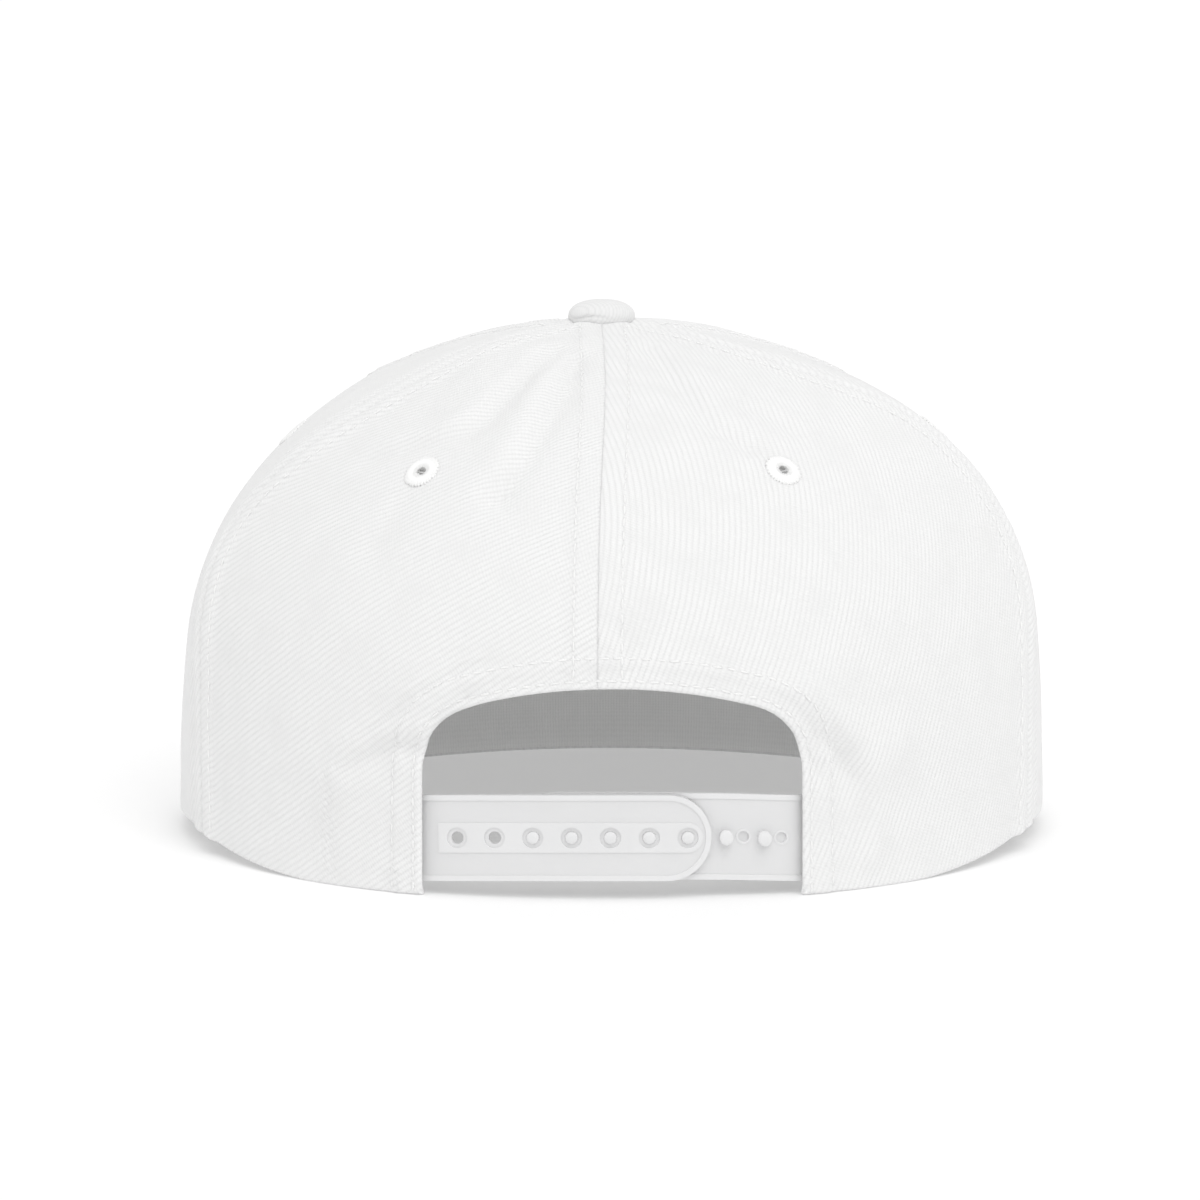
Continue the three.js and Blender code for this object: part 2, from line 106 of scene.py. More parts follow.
# Dents: azimuth, share of the height, depth, reach across in radians, reach up
dents = (
    (76, 0.72, 1.65 * mm, 0.5, 19.3 * mm),
    (31, 0.28, 1.05 * mm, 0.1, 12.5 * mm),
    (-31, 0.26, 1.05 * mm, 0.1, 12.5 * mm),
    (112, 0.35, 1.5 * mm, 0.3, 29 * mm),
    (-112, 0.35, 1.5 * mm, 0.3, 29 * mm),
)
# Creases: ridge, step up to the left of the way along it, half width, then azimuths and shares
creases = (
    (-1.9 * mm, 0.2 * mm, 2.2 * mm, (18.5, 16.4, 14.9, 14, 13.2, 12.3),
     (0.74, 0.781, 0.823, 0.871, 0.919, 0.955)),
    (0.7 * mm, 0, 3.2 * mm, (24, 21, 19, 18, 17.5), (0.75, 0.79, 0.84, 0.89, 0.93)),
    (-1 * mm, 0.8 * mm, 2.8 * mm, (48.6, 42.2, 35.2, 30, 28.5, 27.6, 27),
     (0.791, 0.815, 0.831, 0.855, 0.891, 0.93, 0.965)),
    (-0.7 * mm, 0, 3 * mm, (37.5, 35.9, 35.2), (0.636, 0.682, 0.715)),
    (-0.2 * mm, 0.75 * mm, 1.9 * mm, (37, 31.9, 28, 24.3), (0.25, 0.279, 0.296, 0.289)),
    (-0.3 * mm, 0.6 * mm, 1.5 * mm, (24.8, 22, 19.6), (0.31, 0.357, 0.39)),
    (0, 0.25 * mm, 0.9 * mm, (36.5, 31, 27.2, 22.8, 18), (0.295, 0.333, 0.379, 0.42, 0.45)),
    (0, 0.3 * mm, 1 * mm, (39.6, 40.1, 40), (0.02, 0.1, 0.2)),
    (-1.7 * mm, 0.5 * mm, 2.6 * mm, (-25, -21, -21.5, -23.5, -27.5), (0.971, 0.927, 0.885, 0.851, 0.824)),
    (-0.6 * mm, 0.3 * mm, 2.2 * mm, (-32.4, -37.6, -39.8), (0.89, 0.871, 0.843)),
    (0.9 * mm, 0.2 * mm, 2.2 * mm, (-25, -29.6, -33.2, -35.4, -36.4, -35.6),
     (0.385, 0.34, 0.285, 0.225, 0.15, 0.06)),
    (-0.35 * mm, 0.5 * mm, 1.7 * mm, (-28.6, -31, -33), (0.31, 0.275, 0.235)),
    (-0.3 * mm, 0.3 * mm, 1.2 * mm, (-24.6, -26.6, -28.2), (0.3, 0.27, 0.24)),
    (-0.4 * mm, 0, 2.5 * mm, (-28.2, -29.8), (0.71, 0.68)),
)


def through(at, knots, values):
    """Smooth curve through a short table, level where the table turns back."""
    knots, values = np.asarray(knots, float), np.asarray(values, float)
    slopes = np.diff(values) / np.diff(knots)
    inner = np.where(slopes[:-1] * slopes[1:] > 0, (slopes[:-1] + slopes[1:]) / 2, 0)
    tangents = np.concatenate([slopes[:1], inner, slopes[-1:]])
    i = np.clip(np.searchsorted(knots, at) - 1, 0, len(knots) - 2)
    step = knots[i + 1] - knots[i]
    t = np.clip((at - knots[i]) / step, 0, 1)
    start, end = tangents[i] * step, tangents[i + 1] * step
    return (values[i] + start * (t**3 - 2 * t**2 + t) + end * (t**3 - t**2)
            + (values[i + 1] - values[i]) * (3 * t**2 - 2 * t**3))


def ease(value, low, high):
    t = np.clip((value - low) / (high - low), 0, 1)
    return t * t * (3 - 2 * t)


def flattened(value, power):
    return np.sign(value) * np.abs(value) ** power


def run_along(places):
    return np.concatenate([[0], np.cumsum(np.linalg.norm(np.diff(places, axis=0), axis=1))])


def bell(off, width):
    return np.exp(-((off / width) ** 2))


def wrapped(azimuth):
    return (azimuth + 180) % 360 - 180


def seam_azimuth(name, share):
    return through(share, seam_shares, seam_azimuths[name])


def plan_radius(azimuth):
    turn = np.radians(azimuth)
    across = (np.abs(np.sin(turn)) / half_width) ** plan_power
    along = (np.abs(np.cos(turn)) / half_length) ** plan_power
    return (across + along) ** (-1 / plan_power)


def crown_form(azimuth, share):
    """Plain dome: a place for each azimuth from the back, in degrees, and share of the height."""
    side = np.abs(wrapped(azimuth))
    front = ease(side, front_from, front_full)
    share = np.clip(share, 0, 1)
    climb = share ** ((top_power + (front_top_power - top_power) * front) / 2)
    shrink = (1 - climb**2) ** (1 / (side_power + (front_side_power - side_power) * front))
    lift = through(side, rim_azimuths, rim_lifts) * visor_seat
    z = lift + (crown_height - lift) * share
    full = plan_radius(azimuth)
    pull = strap_pull * np.exp(-((side / strap_pull_span) ** 2 + (z / strap_pull_height) ** 2) / 2)
    radius = full * shrink * (1 - top_lean * share) - pull * shrink
    x = radius * np.sin(np.radians(azimuth)) + top_shift * (1 - (radius / full) ** 2) ** 6
    return np.stack([x, radius * np.cos(np.radians(azimuth)), z], -1)


def way_out(surface, azimuth, share):
    """Unit normals of a surface that is given by azimuth and share."""
    low = np.minimum(share, 0.992)
    around = surface(azimuth + 0.4, low) - surface(azimuth - 0.4, low)
    up = surface(azimuth, low + 0.004) - surface(azimuth, np.maximum(low - 0.004, 0))
    normal = np.cross(up, around)
    return normal / np.linalg.norm(normal, axis=-1, keepdims=True)


def creased(place, normal):
    """Rise of the cloth beside each crease, as a ridge or a step that dies out on both sides."""
    rise = np.zeros(place.shape[:-1])
    for ridge, step, width, azimuths, shares in creases:
        knots = np.arange(len(azimuths))
        stops = np.linspace(0, knots[-1], 3 * len(knots))
        spots = crown_form(through(stops, knots, azimuths), through(stops, knots, shares))
        nearest, beside = np.full(rise.shape, 1.0), np.zeros(rise.shape)
        for start, end in zip(spots[:-1], spots[1:]):
            run = end - start
            gap = place - start - np.clip(((place - start) @ run) / (run @ run), 0, 1)[..., None] * run
            off = np.linalg.norm(gap, axis=-1)
            left = np.cross(normal, run / np.linalg.norm(run))
            beside = np.where(off < nearest, np.sum(gap * left, -1), beside)
            nearest = np.minimum(off, nearest)
        rise += (ridge + 1.65 * step * beside / width) * np.exp(-0.5 * (nearest / width) ** 2)
    return rise


def crown_skin(azimuth, share):
    """The dome with its soft folds, dents and creases."""
    place = crown_form(azimuth, share)
    normal = way_out(crown_form, azimuth, share)
    rise = creased(place, normal)
    for azimuth_a, share_a, azimuth_b, share_b, height, width in folds:
        start = crown_form(np.float64(azimuth_a), share_a)
        run = crown_form(np.float64(azimuth_b), share_b) - start
        along = np.clip(((place - start) @ run) / (run @ run), 0, 1)
        off = np.linalg.norm(place - start - along[..., None] * run, axis=-1)
        rise = rise + height * bell(off, width)
    for dent_azimuth, dent_share, depth, across, up in dents:
        turn = np.radians(wrapped(azimuth - dent_azimuth)) / across
        climb = (share - dent_share) * crown_height / up
        rise = rise - depth * np.exp(-(turn**2) - climb**2)
    return place + normal * rise[..., None]


corner_x = arch_half - arch_corner
top_z = arch_height - arch_top_radius
corner_z = top_z + math.sqrt((arch_top_radius - arch_corner) ** 2 - corner_x**2)
corner_turn = math.atan2(corner_z - top_z, corner_x)


def off_arch(x, z):
    """Distance outside the arched opening, seen from the back."""
    side, over = np.abs(x) - corner_x, z - corner_z
    past_corner = np.hypot(side, over) - arch_corner
    past_top = np.hypot(x, z - top_z) - arch_top_radius
    in_corner = np.arctan2(over, np.maximum(side, 1e-9)) < corner_turn
    above = np.where((side > 0) & in_corner, past_corner, past_top)
    return np.where(over < 0, np.abs(x) - arch_half, above)


def arch_outline(off, count):
    """Places (x, z) along the opening's edge, a distance outside it, from the top to one foot."""
    top = (arch_top_radius + off) * (math.pi / 2 - corner_turn)
    corner = (arch_corner + off) * corner_turn
    run = np.linspace(0, top + corner + corner_z, count)
    turn = math.pi / 2 - run / (arch_top_radius + off)
    bend = corner_turn - (run - top) / (arch_corner + off)
    x = np.where(run < top, (arch_top_radius + off) * np.cos(turn),
                 corner_x + (arch_corner + off) * np.cos(np.maximum(bend, 0)))
    z = np.where(run < top, top_z + (arch_top_radius + off) * np.sin(turn),
                 corner_z + (arch_corner + off) * np.sin(np.maximum(bend, 0)))
    return x, np.where(run > top + corner, corner_z - (run - top - corner), z)


def azimuth_at(x, share):
    """Azimuth, on the back of the crown, of the places that show at x and have a share of the height."""
    azimuth = np.degrees(np.arcsin(np.clip(x / half_width, -1, 1)))
    for _ in range(6):
        place = crown_form(azimuth, share)
        radius = np.hypot(place[..., 0], place[..., 1])
        azimuth = azimuth + np.degrees((x - place[..., 0]) / np.maximum(place[..., 1], 0.2 * radius))
    return azimuth


def found_on_crown(x, z):
    """Azimuth and share of the places on the back of the crown that show at x and z."""
    azimuth = np.degrees(np.arcsin(np.clip(x / half_width, -1, 1)))
    for _ in range(3):
        lift = through(np.abs(azimuth), rim_azimuths, rim_lifts) * visor_seat
        share = np.clip((z - lift) / (crown_height - lift), 0, 1)
        azimuth = azimuth_at(x, share)
    return azimuth, share


def soft_noise(place, size, seed):
    """Slow random swelling, from -1 to 1, of the given size in metres."""
    shift = Vector((seed * 7.3, seed * 3.1, seed * 5.7))
    swelling = [noise.noise(Vector(spot) / size + shift) for spot in place.reshape(-1, 3)]
    return np.array(swelling).reshape(place.shape[:-1])


def rolled(off_edge, radius):
    """How far a rounded edge falls back, at a distance from the edge."""
    return radius - np.sqrt(radius**2 - np.clip(radius - off_edge, 0, radius) ** 2)


def sewn_skin(azimuth, share, seams, arched):
    """The crown's finished surface: seam grooves, raised allowances, hems, and puckers beside stitches."""
    place = crown_skin(azimuth, share)
    flat = crown_form(azimuth, share)
    radius = np.hypot(flat[..., 0] - top_shift * share**4, flat[..., 1])
    waver = soft_noise(flat, 14 * mm, 1)
    tight = soft_noise(flat, 3.2 * mm, 2)
    line = allowance * (1 + 0.05 * waver)
    rise = np.zeros_like(share)
    for name in seams:
        back = name in ("back", "back_again")
        turn = np.radians(wrapped(azimuth - seam_azimuth(name, share))) * radius
        off_seam = np.abs(turn)
        rise += (0.45 if back else 0.95) * mm * (1 - ease(off_seam, line - 0.4 * mm, line + 1.8 * mm))
        rise -= (0.1 if back else 0.9) * mm * bell(off_seam, (0.4 if back else 0.9) * mm)
        rise -= (0.12 if back else 0.3) * mm * bell(off_seam - line, 0.7 * mm)
        rise += 0.2 * mm * tight * bell(off_seam - line, 3 * mm)
        if back:
            # The left side of this seam was pressed over the right
            rise += 0.07 * mm * np.sign(turn) * np.exp(-off_seam / (1.4 * mm))
        else:
            # The side gores sink a little beyond the pressed allowance
            far = turn * np.sign(wrapped(seam_azimuth(name, share))) > 0
            rise -= 1.2 * mm * far * bell(off_seam - 7.6 * mm, 1.9 * mm)
    rise *= 0.5 + 0.5 * ease(radius, 7 * mm, 20 * mm)
    # Gathered a little thicker round the button
    rise += 0.5 * mm * (1 - ease(radius, 6 * mm, 18 * mm))
    rise += 0.22 * mm * waver + 0.3 * mm * soft_noise(flat, 36 * mm, 3)
    if arched:
        off_edge = off_arch(flat[..., 0], flat[..., 2])
        rise += 0.65 * mm * (1 - ease(off_edge, hem_far - 0.3 * mm, hem_far + 1.4 * mm))
        beside = 1 - ease(flat[..., 2], 26 * mm, 34 * mm)
        rise -= 0.35 * mm * (1 - 0.8 * beside) * np.exp(-off_edge / (2 * mm))
        rise -= 0.55 * mm * (1 - 0.7 * beside) * bell(off_edge - 3.4 * mm, 1.5 * mm)
        rise -= 0.24 * mm * (1 - 0.6 * beside) * bell(off_edge - hem_near, 0.55 * mm)
        rise -= 0.24 * mm * (1 + beside) * bell(off_edge - hem_far, 0.6 * mm)
        rise += 0.3 * mm * tight * bell(off_edge - hem_far, 4 * mm)
        rise -= rolled(off_edge, 0.8 * mm)
    rise -= rolled(share * crown_height, 0.9 * mm)
    return place + way_out(crown_skin, azimuth, share) * rise[..., None]


def grid_of(name, place, flat, flip=False):
    """Sheet from a grid primitive: vertices at place[line, column], and UV from flat, in metres."""
    lines, columns = place.shape[:2]
    bpy.ops.object.select_all(action="DESELECT")
    bpy.ops.mesh.primitive_grid_add(x_subdivisions=columns - 1, y_subdivisions=lines - 1, size=1)
    sheet = bpy.context.object
    sheet.name = sheet.data.name = name
    spots = np.zeros(len(sheet.data.vertices) * 3)
    sheet.data.vertices.foreach_get("co", spots)
    column = np.rint((spots[0::3] + 0.5) * (columns - 1)).astype(int)
    line = np.rint((spots[1::3] + 0.5) * (lines - 1)).astype(int)
    sheet.data.vertices.foreach_set("co", (place[line, column] + np.array(axis)).ravel())
    corners = np.zeros(len(sheet.data.loops), np.int32)
    sheet.data.loops.foreach_get("vertex_index", corners)
    sheet.data.uv_layers[0].name = "cloth"
    sheet.data.uv_layers[0].data.foreach_set("uv", flat[line, column][corners].ravel())
    sheet.data.update()
    if flip:
        edit_all()
        bpy.ops.mesh.flip_normals()
        bpy.ops.object.mode_set(mode="OBJECT")
    return sheet


def hold(*pieces):
    """Select these pieces alone, with the first one active."""
    bpy.ops.object.select_all(action="DESELECT")
    for piece in pieces:
        piece.select_set(True)
    bpy.context.view_layer.objects.active = pieces[0]


def edit_all():
    bpy.ops.object.mode_set(mode="EDIT")
    bpy.ops.mesh.select_all(action="SELECT")


def settle():
    bpy.ops.object.transform_apply(location=True, rotation=True, scale=True)


def outward_normals():
    edit_all()
    bpy.ops.mesh.normals_make_consistent(inside=False)
    bpy.ops.object.mode_set(mode="OBJECT")


def thicken(sheet, wall):
    """The cloth's thickness, inwards, and smooth shading."""
    hold(sheet)
    solid = sheet.modifiers.new("wall", "SOLIDIFY")
    solid.thickness = wall
    solid.offset = -1
    bpy.ops.object.modifier_apply(modifier="wall")
    bpy.ops.object.shade_smooth_by_angle(angle=math.radians(40))


def enter(piece, node=None):
    """A finished piece rides on the cap's one body and stands for a CAD node, if it has one."""
    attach(piece, "root")
    if node:
        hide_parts(node)


def node_material(name, shader_inputs):
    """New material, with its function for adding nodes. An input is a number, a colour or an output."""
    material = bpy.data.materials.new(name)
    material.use_nodes = True
    tree = material.node_tree

    def fill(node, inputs):
        for socket, value in inputs.items():
            if isinstance(value, bpy.types.NodeSocket):
                tree.links.new(value, node.inputs[socket])
            else:
                node.inputs[socket].default_value = value
        return node

    def add(kind, inputs, output=0, **settings):
        node = tree.nodes.new(kind)
        for setting, value in settings.items():
            setattr(node, setting, value)
        return fill(node, inputs).outputs[output]

    shader = fill(tree.nodes["Principled BSDF"], shader_inputs)
    return material, add, lambda inputs: fill(shader, inputs)


def blend(add, share, first, second):
    """Output of a colour mix, on the mix node's own colour sockets."""
    return add("ShaderNodeMix", {0: share, 6: (*first, 1), 7: (*second, 1)}, 2, data_type="RGBA")


wave_scale = math.pi / 10         # of a wave texture, for one wave a metre


def twill(name, tint, rib=1.22 * mm, lean=-42, relief=0.15 * mm):
    """Cotton twill in the piece's own UV: slanted ribs made of short floats of yarn, with painted shade in
    the grooves between them.
    """
    material, add, finish = node_material(name, {
        "Roughness": 0.92, "Sheen Weight": 0.12, "Sheen Roughness": 0.5, "Specular IOR Level": 0.25,
        "Subsurface Weight": 0.5, "Subsurface Radius": (1, 1, 1), "Subsurface Scale": 0.8 * mm})
    cloth = add("ShaderNodeUVMap", {}, uv_map="cloth")
    turned = add("ShaderNodeMapping", {"Vector": cloth, "Rotation": (0, 0, math.radians(lean))})
    ribs = add("ShaderNodeTexWave", {"Vector": turned, "Scale": wave_scale / rib, "Distortion": 0.9,
                                     "Detail": 2, "Detail Scale": 0.8}, "Fac")
    floats = add("ShaderNodeTexWave", {"Vector": turned, "Scale": wave_scale / (0.62 * mm), "Detail": 1,
                                       "Distortion": 2.5, "Detail Scale": 1.5}, "Fac", bands_direction="Y")
    fuzz = add("ShaderNodeTexNoise", {"Vector": cloth, "Scale": 1 / (0.45 * mm), "Detail": 4}, "Fac")
    patches = add("ShaderNodeTexNoise", {"Vector": cloth, "Scale": 1 / (9 * mm), "Detail": 3}, "Fac")
    strength = add("ShaderNodeMapRange", {"Value": patches, "From Min": 0.3, "From Max": 0.7,
                                          "To Min": 0.45, "To Max": 1.25})
    broad = add("ShaderNodeMath", {0: ribs, 1: 0.45}, operation="POWER")
    uneven = add("ShaderNodeMath", {0: broad, 1: strength}, operation="MULTIPLY")
    floats = add("ShaderNodeMath", {0: floats, 1: 0.25}, operation="MULTIPLY")
    weave = add("ShaderNodeMath", {0: uneven, 1: 0.7, 2: floats}, operation="MULTIPLY_ADD")
    height = add("ShaderNodeMath", {0: fuzz, 1: 0.35, 2: weave}, operation="MULTIPLY_ADD")
    shade = add("ShaderNodeMapRange", {"Value": height, "From Min": 0.1})
    # Painted shade: the grooves between the ribs are coloured darker, down to nine tenths of the tint.
    painted_groove_shade = [0.9 * part for part in tint]
    finish({"Normal": add("ShaderNodeBump", {"Height": height, "Strength": 1, "Distance": relief}),
            "Base Color": blend(add, shade, painted_groove_shade, tint)})
    return material


# The cloth lies with its ribs turned a little more upright on every second gore
crown_twills = (
    twill("crown_twill", (0.842, 0.842, 0.84), lean=-57),
    twill("crown_twill_upright", (0.832, 0.832, 0.83), relief=0.12 * mm, lean=-22),
)
lining = twill("white_lining", (0.94, 0.94, 0.935), rib=0.7 * mm, lean=0, relief=0.05 * mm)


# Distances from a seam, and from the arch's edge, at which the cloth's mesh has a line
fine = np.array([0, 0.15, 0.35, 0.6, 0.9, 1.4, 2.2, 3.2, 4.1, 4.6, 5.0, 5.4, 5.9, 6.6, 8]) * mm
hem_fine = np.array([0, 0.12, 0.35, 0.7, 1.2, 1.7, 2.2, 3, 4, 5, 5.8, 6.3, 6.8, 7.4, 8.4]) * mm
stem_hole = 3.4 * mm
climb_shares = 1 - (1 - np.linspace(0, 1, 3000)) ** 3
climb_runs = run_along(crown_form(np.full(3000, 40.0), climb_shares))
climb_end = climb_runs[-1] - stem_hole


def spread(length, count, near_start=True, near_end=True):
    """Distances from 0 to a length, close together at each end that is sewn."""
    tight = min(1, length / (3 * fine[-1]))
    start = fine * tight if near_start else fine[:1]
    end = length - (fine[::-1] * tight if near_end else fine[:1])
    middle = np.linspace(start[-1], end[0], count - len(start) - len(end) + 2)
    return np.concatenate([start, middle[1:-1], end])


def spread_along(azimuth, share, count, near_start=True, near_end=True):
    """The same along a path on the crown, given back as azimuth and share."""
    run = run_along(crown_form(azimuth, share))
    at = spread(run[-1], count, near_start, near_end)
    return np.interp(at, run, azimuth), np.interp(at, run, share)


def level_line(start, end, share, count, near_start=True, near_end=True):
    azimuth = np.linspace(start, end, 60)
    return spread_along(azimuth, np.full(60, float(share)), count, near_start, near_end)


def plain_gore(first, second, columns=72, lines=92):
    """Azimuth and share of a side or front gore's mesh, line by line from the rim to the button."""
    shares = np.interp(spread(climb_end, lines, True, False), climb_runs, climb_shares)
    rows = [level_line(seam_azimuth(first, s), seam_azimuth(second, s), s, columns) for s in shares]
    return np.array([row[0] for row in rows]), np.array([row[1] for row in rows])


def back_gore(side, beside_arch=48, beside_rim=52, lower_lines=26, upper_lines=62):
    """The same for a back gore, whose first lines run along the arch and then along the rim.
    The side is 1 for the wearer's left and -1 for the right, and azimuths are taken towards it."""
    far = "left" if side > 0 else "right"

    def seam(name, share):
        return wrapped(seam_azimuth(name, share)) * side

    def joined(inner, outer):
        return np.array([np.concatenate([a, b[1:]]) for a, b in zip(inner, outer)])

    rows = []
    for off in hem_fine:
        half_x, half_z = arch_outline(off, 400)
        x = np.concatenate([-half_x[:0:-1], half_x])
        z = np.concatenate([half_z[:0:-1], half_z])
        azimuth, share = found_on_crown(x * side, z)
        azimuth = azimuth * side
        kept = (azimuth > seam("back", share)) & (share > off / crown_height) & (x > -corner_x)
        foot_share = np.array([off / crown_height])
        foot = azimuth_at(np.array([(arch_half + off) * side]), foot_share) * side
        azimuth = np.concatenate([seam("back", share[kept][:1]), azimuth[kept], foot])
        share = np.concatenate([share[kept][:1], share[kept], foot_share])
        inner = spread_along(azimuth * side, share, beside_arch, True, False)
        rim_end = seam(far, foot_share[0]) * side
        outer = level_line(foot[0] * side, rim_end, foot_share[0], beside_rim, False, True)
        rows.append(joined(inner, outer))
    # From the last hem line the cloth's lines fan out, square to it at first, up to a level line
    knee_run, knee_turn = 66 * mm, 0.7
    for run in np.linspace(knee_run, climb_end, upper_lines):
        share = np.interp(run, climb_runs, climb_shares)
        low, high = seam("back", share), seam(far, share)
        fold = low + (high - low) * knee_turn
        inner = level_line(low * side, fold * side, share, beside_arch, True, False)
        outer = level_line(fold * side, high * side, share, beside_rim, False, True)
        line = joined(inner, outer)
        if run == knee_run:
            hem_line = rows[-1]
            off_hem = hem_line - rows[-3]
            off_hem *= np.hypot(*(line - hem_line)) / np.hypot(*off_hem) * 0.45
            for step in np.arange(1, lower_lines) / lower_lines:
                bend = 2 * step * (1 - step)
                fanned = hem_line * (1 - step) ** 2 + (hem_line + off_hem) * bend + line * step**2
                # Both its ends stay on their seams
                ends = [seam(name, at) * side for name, at in zip(("back", far), fanned[1, [0, -1]])]
                fanned[0] += np.linspace(*(ends - fanned[0, [0, -1]]), fanned.shape[1])
                rows.append(fanned)
        rows.append(line)
    rows = np.array(rows)[:, :, ::side]
    return rows[:, 0], rows[:, 1]


def unrolled(azimuth, share, first, second):
    """Where the cloth of a gore lay when it was cut, in metres: across from its middle, and up."""
    middle = (seam_azimuth(first, share) + seam_azimuth(second, share)) / 2
    spot = crown_form(middle, share)
    radius = np.hypot(spot[..., 0] - top_shift * share**4, spot[..., 1])
    across = np.radians(wrapped(azimuth - middle)) * radius
    return np.stack([across, np.interp(share, climb_shares, climb_runs)], -1)


eyelets = {
    "back_left": (34.5, 0.771), "back_right": (-30.6, 0.774), "side_left": (97, 0.77),
    "side_right": (-97, 0.77), "front_left": (148, 0.8), "front_right": (-148, 0.8),
}
panels = (
    ("back_left", "back", "left"),
    ("side_left", "left", "front_left"),
    ("front_left", "front_left", "front"),
    ("front_right", "front", "front_right"),
    ("side_right", "front_right", "right"),
    ("back_right", "right", "back_again"),
)
for number, (name, first, second) in enumerate(panels):
    arched = name in ("back_left", "back_right")
    if arched:
        azimuth, share = back_gore(1 if name == "back_left" else -1)
    else:
        azimuth, share = plain_gore(first, second)
    flat = unrolled(azimuth, share, first, second) + np.array([0.5, 0.3]) * number
    panel = grid_of(f"{name}_cloth", sewn_skin(azimuth, share, (first, second), arched), flat, flip=True)
    spot = Vector(crown_skin(*eyelets[name])) + axis
    bpy.ops.object.mode_set(mode="EDIT")
    bpy.ops.mesh.select_all(action="DESELECT")
    bpy.ops.object.mode_set(mode="OBJECT")
    for face in panel.data.polygons:
        face.select = (face.center - spot).length < 1.5 * mm
    bpy.ops.object.mode_set(mode="EDIT")
    bpy.ops.mesh.delete(type="FACE")
    bpy.ops.object.mode_set(mode="OBJECT")
    thicken(panel, cloth_wall)
    panel.data.materials.append(crown_twills[number % 2])
    panel.data.materials.append(lining)
    for face in panel.data.polygons:
        outward = face.center - axis - Vector((0, 0, 40 * mm))
        face.material_index = 1 if face.normal.dot(outward.normalized()) < -0.4 else 0
    enter(panel, f"{name}_panel")

# Topstitching: lines of white cotton lockstitch, one on each side of every crown seam through
# the pressed allowance, and two round the arch through its hem. Each stitch is a short grain of
# thread that dips into the cloth at both ends.
stitch_pitch, stitch_length = 3.0 * mm, 2.35 * mm
thread_width, thread_rise = 0.24 * mm, 0.2 * mm
wobble = np.random.default_rng(5)


def thread_material():
    """Twisted cotton thread, with painted shade at both ends of each stitch, where it goes down its needle
    hole.
    """
    material, add, finish = node_material("cotton_thread", {"Roughness": 0.6, "Sheen Weight": 0.1})
    thread = add("ShaderNodeUVMap", {}, uv_map="thread")
    ply = add("ShaderNodeTexWave", {"Vector": thread, "Scale": 0.9, "Distortion": 1}, "Fac",
              bands_direction="DIAGONAL")
    along = add("ShaderNodeSeparateXYZ", {"Vector": thread}, "X")
    near_end = add("ShaderNodeMath", {0: along}, operation="ABSOLUTE")
    # Painted shade: the colour darkens towards each stitch's ends, where the thread goes down into the
    # cloth.
    ends = add("ShaderNodeMapRange", {"Value": near_end, "From Min": 0.72, "From Max": 0.95},
               interpolation_type="SMOOTHSTEP")
    finish({"Normal": add("ShaderNodeBump", {"Height": ply, "Strength": 0.7, "Distance": 0.06 * mm}),
            "Base Color": blend(add, ends, (0.92, 0.92, 0.915), (0.75, 0.75, 0.75))})
    return material


white_thread = thread_material()


def taken_from(piece):
    """Vertices and faces of a primitive, which is then removed."""
    spots = np.array([vertex.co for vertex in piece.data.vertices])
    faces = [tuple(face.vertices) for face in piece.data.polygons]
    bpy.data.objects.remove(piece)
    return spots, faces


def grain_of_thread(segments, rings):
    """Vertices and faces of one stitch, 2 long, 2 wide and 2 high, with its points along X."""
    bpy.ops.mesh.primitive_uv_sphere_add(segments=segments, ring_count=rings, radius=1)
    bpy.ops.object.mode_set(mode="EDIT")
    bpy.ops.transform.rotate(value=math.pi / 2, orient_axis="Y", center_override=(0, 0, 0))
    bpy.ops.object.mode_set(mode="OBJECT")
    return taken_from(bpy.context.object)


def thread_piece(name, parts, node=None):
    """Piece of cotton thread from parts: vertices, faces, and places along and across the thread."""
    faces, count = [], 0
    for part_spots, part_faces, _ in parts:
        faces += [tuple(v + count for v in face) for face in part_faces]
        count += len(part_spots)
    spots, thread = (np.concatenate([part[i] for part in parts]) for i in (0, 2))
    mesh = bpy.data.meshes.new(name)
    mesh.from_pydata((spots + np.array(axis)).tolist(), [], faces)
    corners = np.zeros(len(mesh.loops), np.int32)
    mesh.loops.foreach_get("vertex_index", corners)
    mesh.uv_layers.new(name="thread").data.foreach_set("uv", thread[corners].ravel())
    mesh.update()
    piece = bpy.data.objects.new(name, mesh)
    bpy.context.collection.objects.link(piece)
    hold(piece)
    outward_normals()
    bpy.ops.object.shade_smooth_by_angle(angle=math.radians(50))
    mesh.materials.append(white_thread)
    enter(piece, node)


stitch_spots, stitch_faces = grain_of_thread(6, 6)


def passed(at, run, rows):
    return np.array([np.interp(at, run, rows[:, i]) for i in range(3)])


def stitches(places, normals):
    """Vertices, faces and thread places of a line of stitches along a path of close places."""
    pitch, length = stitch_pitch, stitch_length
    run = run_along(places)
    spots, faces = [], []
    for start in np.arange(0.4 * pitch, run[-1] - length, pitch):
        start += wobble.uniform(-0.06, 0.06) * pitch
        normal, middle = passed(start + length / 2, run, normals), passed(start + length / 2, run, places)
        along = (passed(start + length, run, places) - passed(start, run, places)) / 2
        side = np.cross(normal, along)
        side /= np.linalg.norm(side)
        slant = wobble.uniform(-0.05, 0.05)
        x, y, z = stitch_spots.T
        local = (x[:, None] * (along + side * slant * length) + y[:, None] * side * thread_width
                 + (z[:, None] * thread_rise + 0.02 * mm - (x[:, None] ** 4) * 0.12 * mm) * normal)
        faces += [tuple(v + len(stitch_spots) * len(spots) for v in face) for face in stitch_faces]
        spots.append(middle + local)
    return np.concatenate(spots), faces, np.tile(stitch_spots[:, :2], (len(spots), 1))


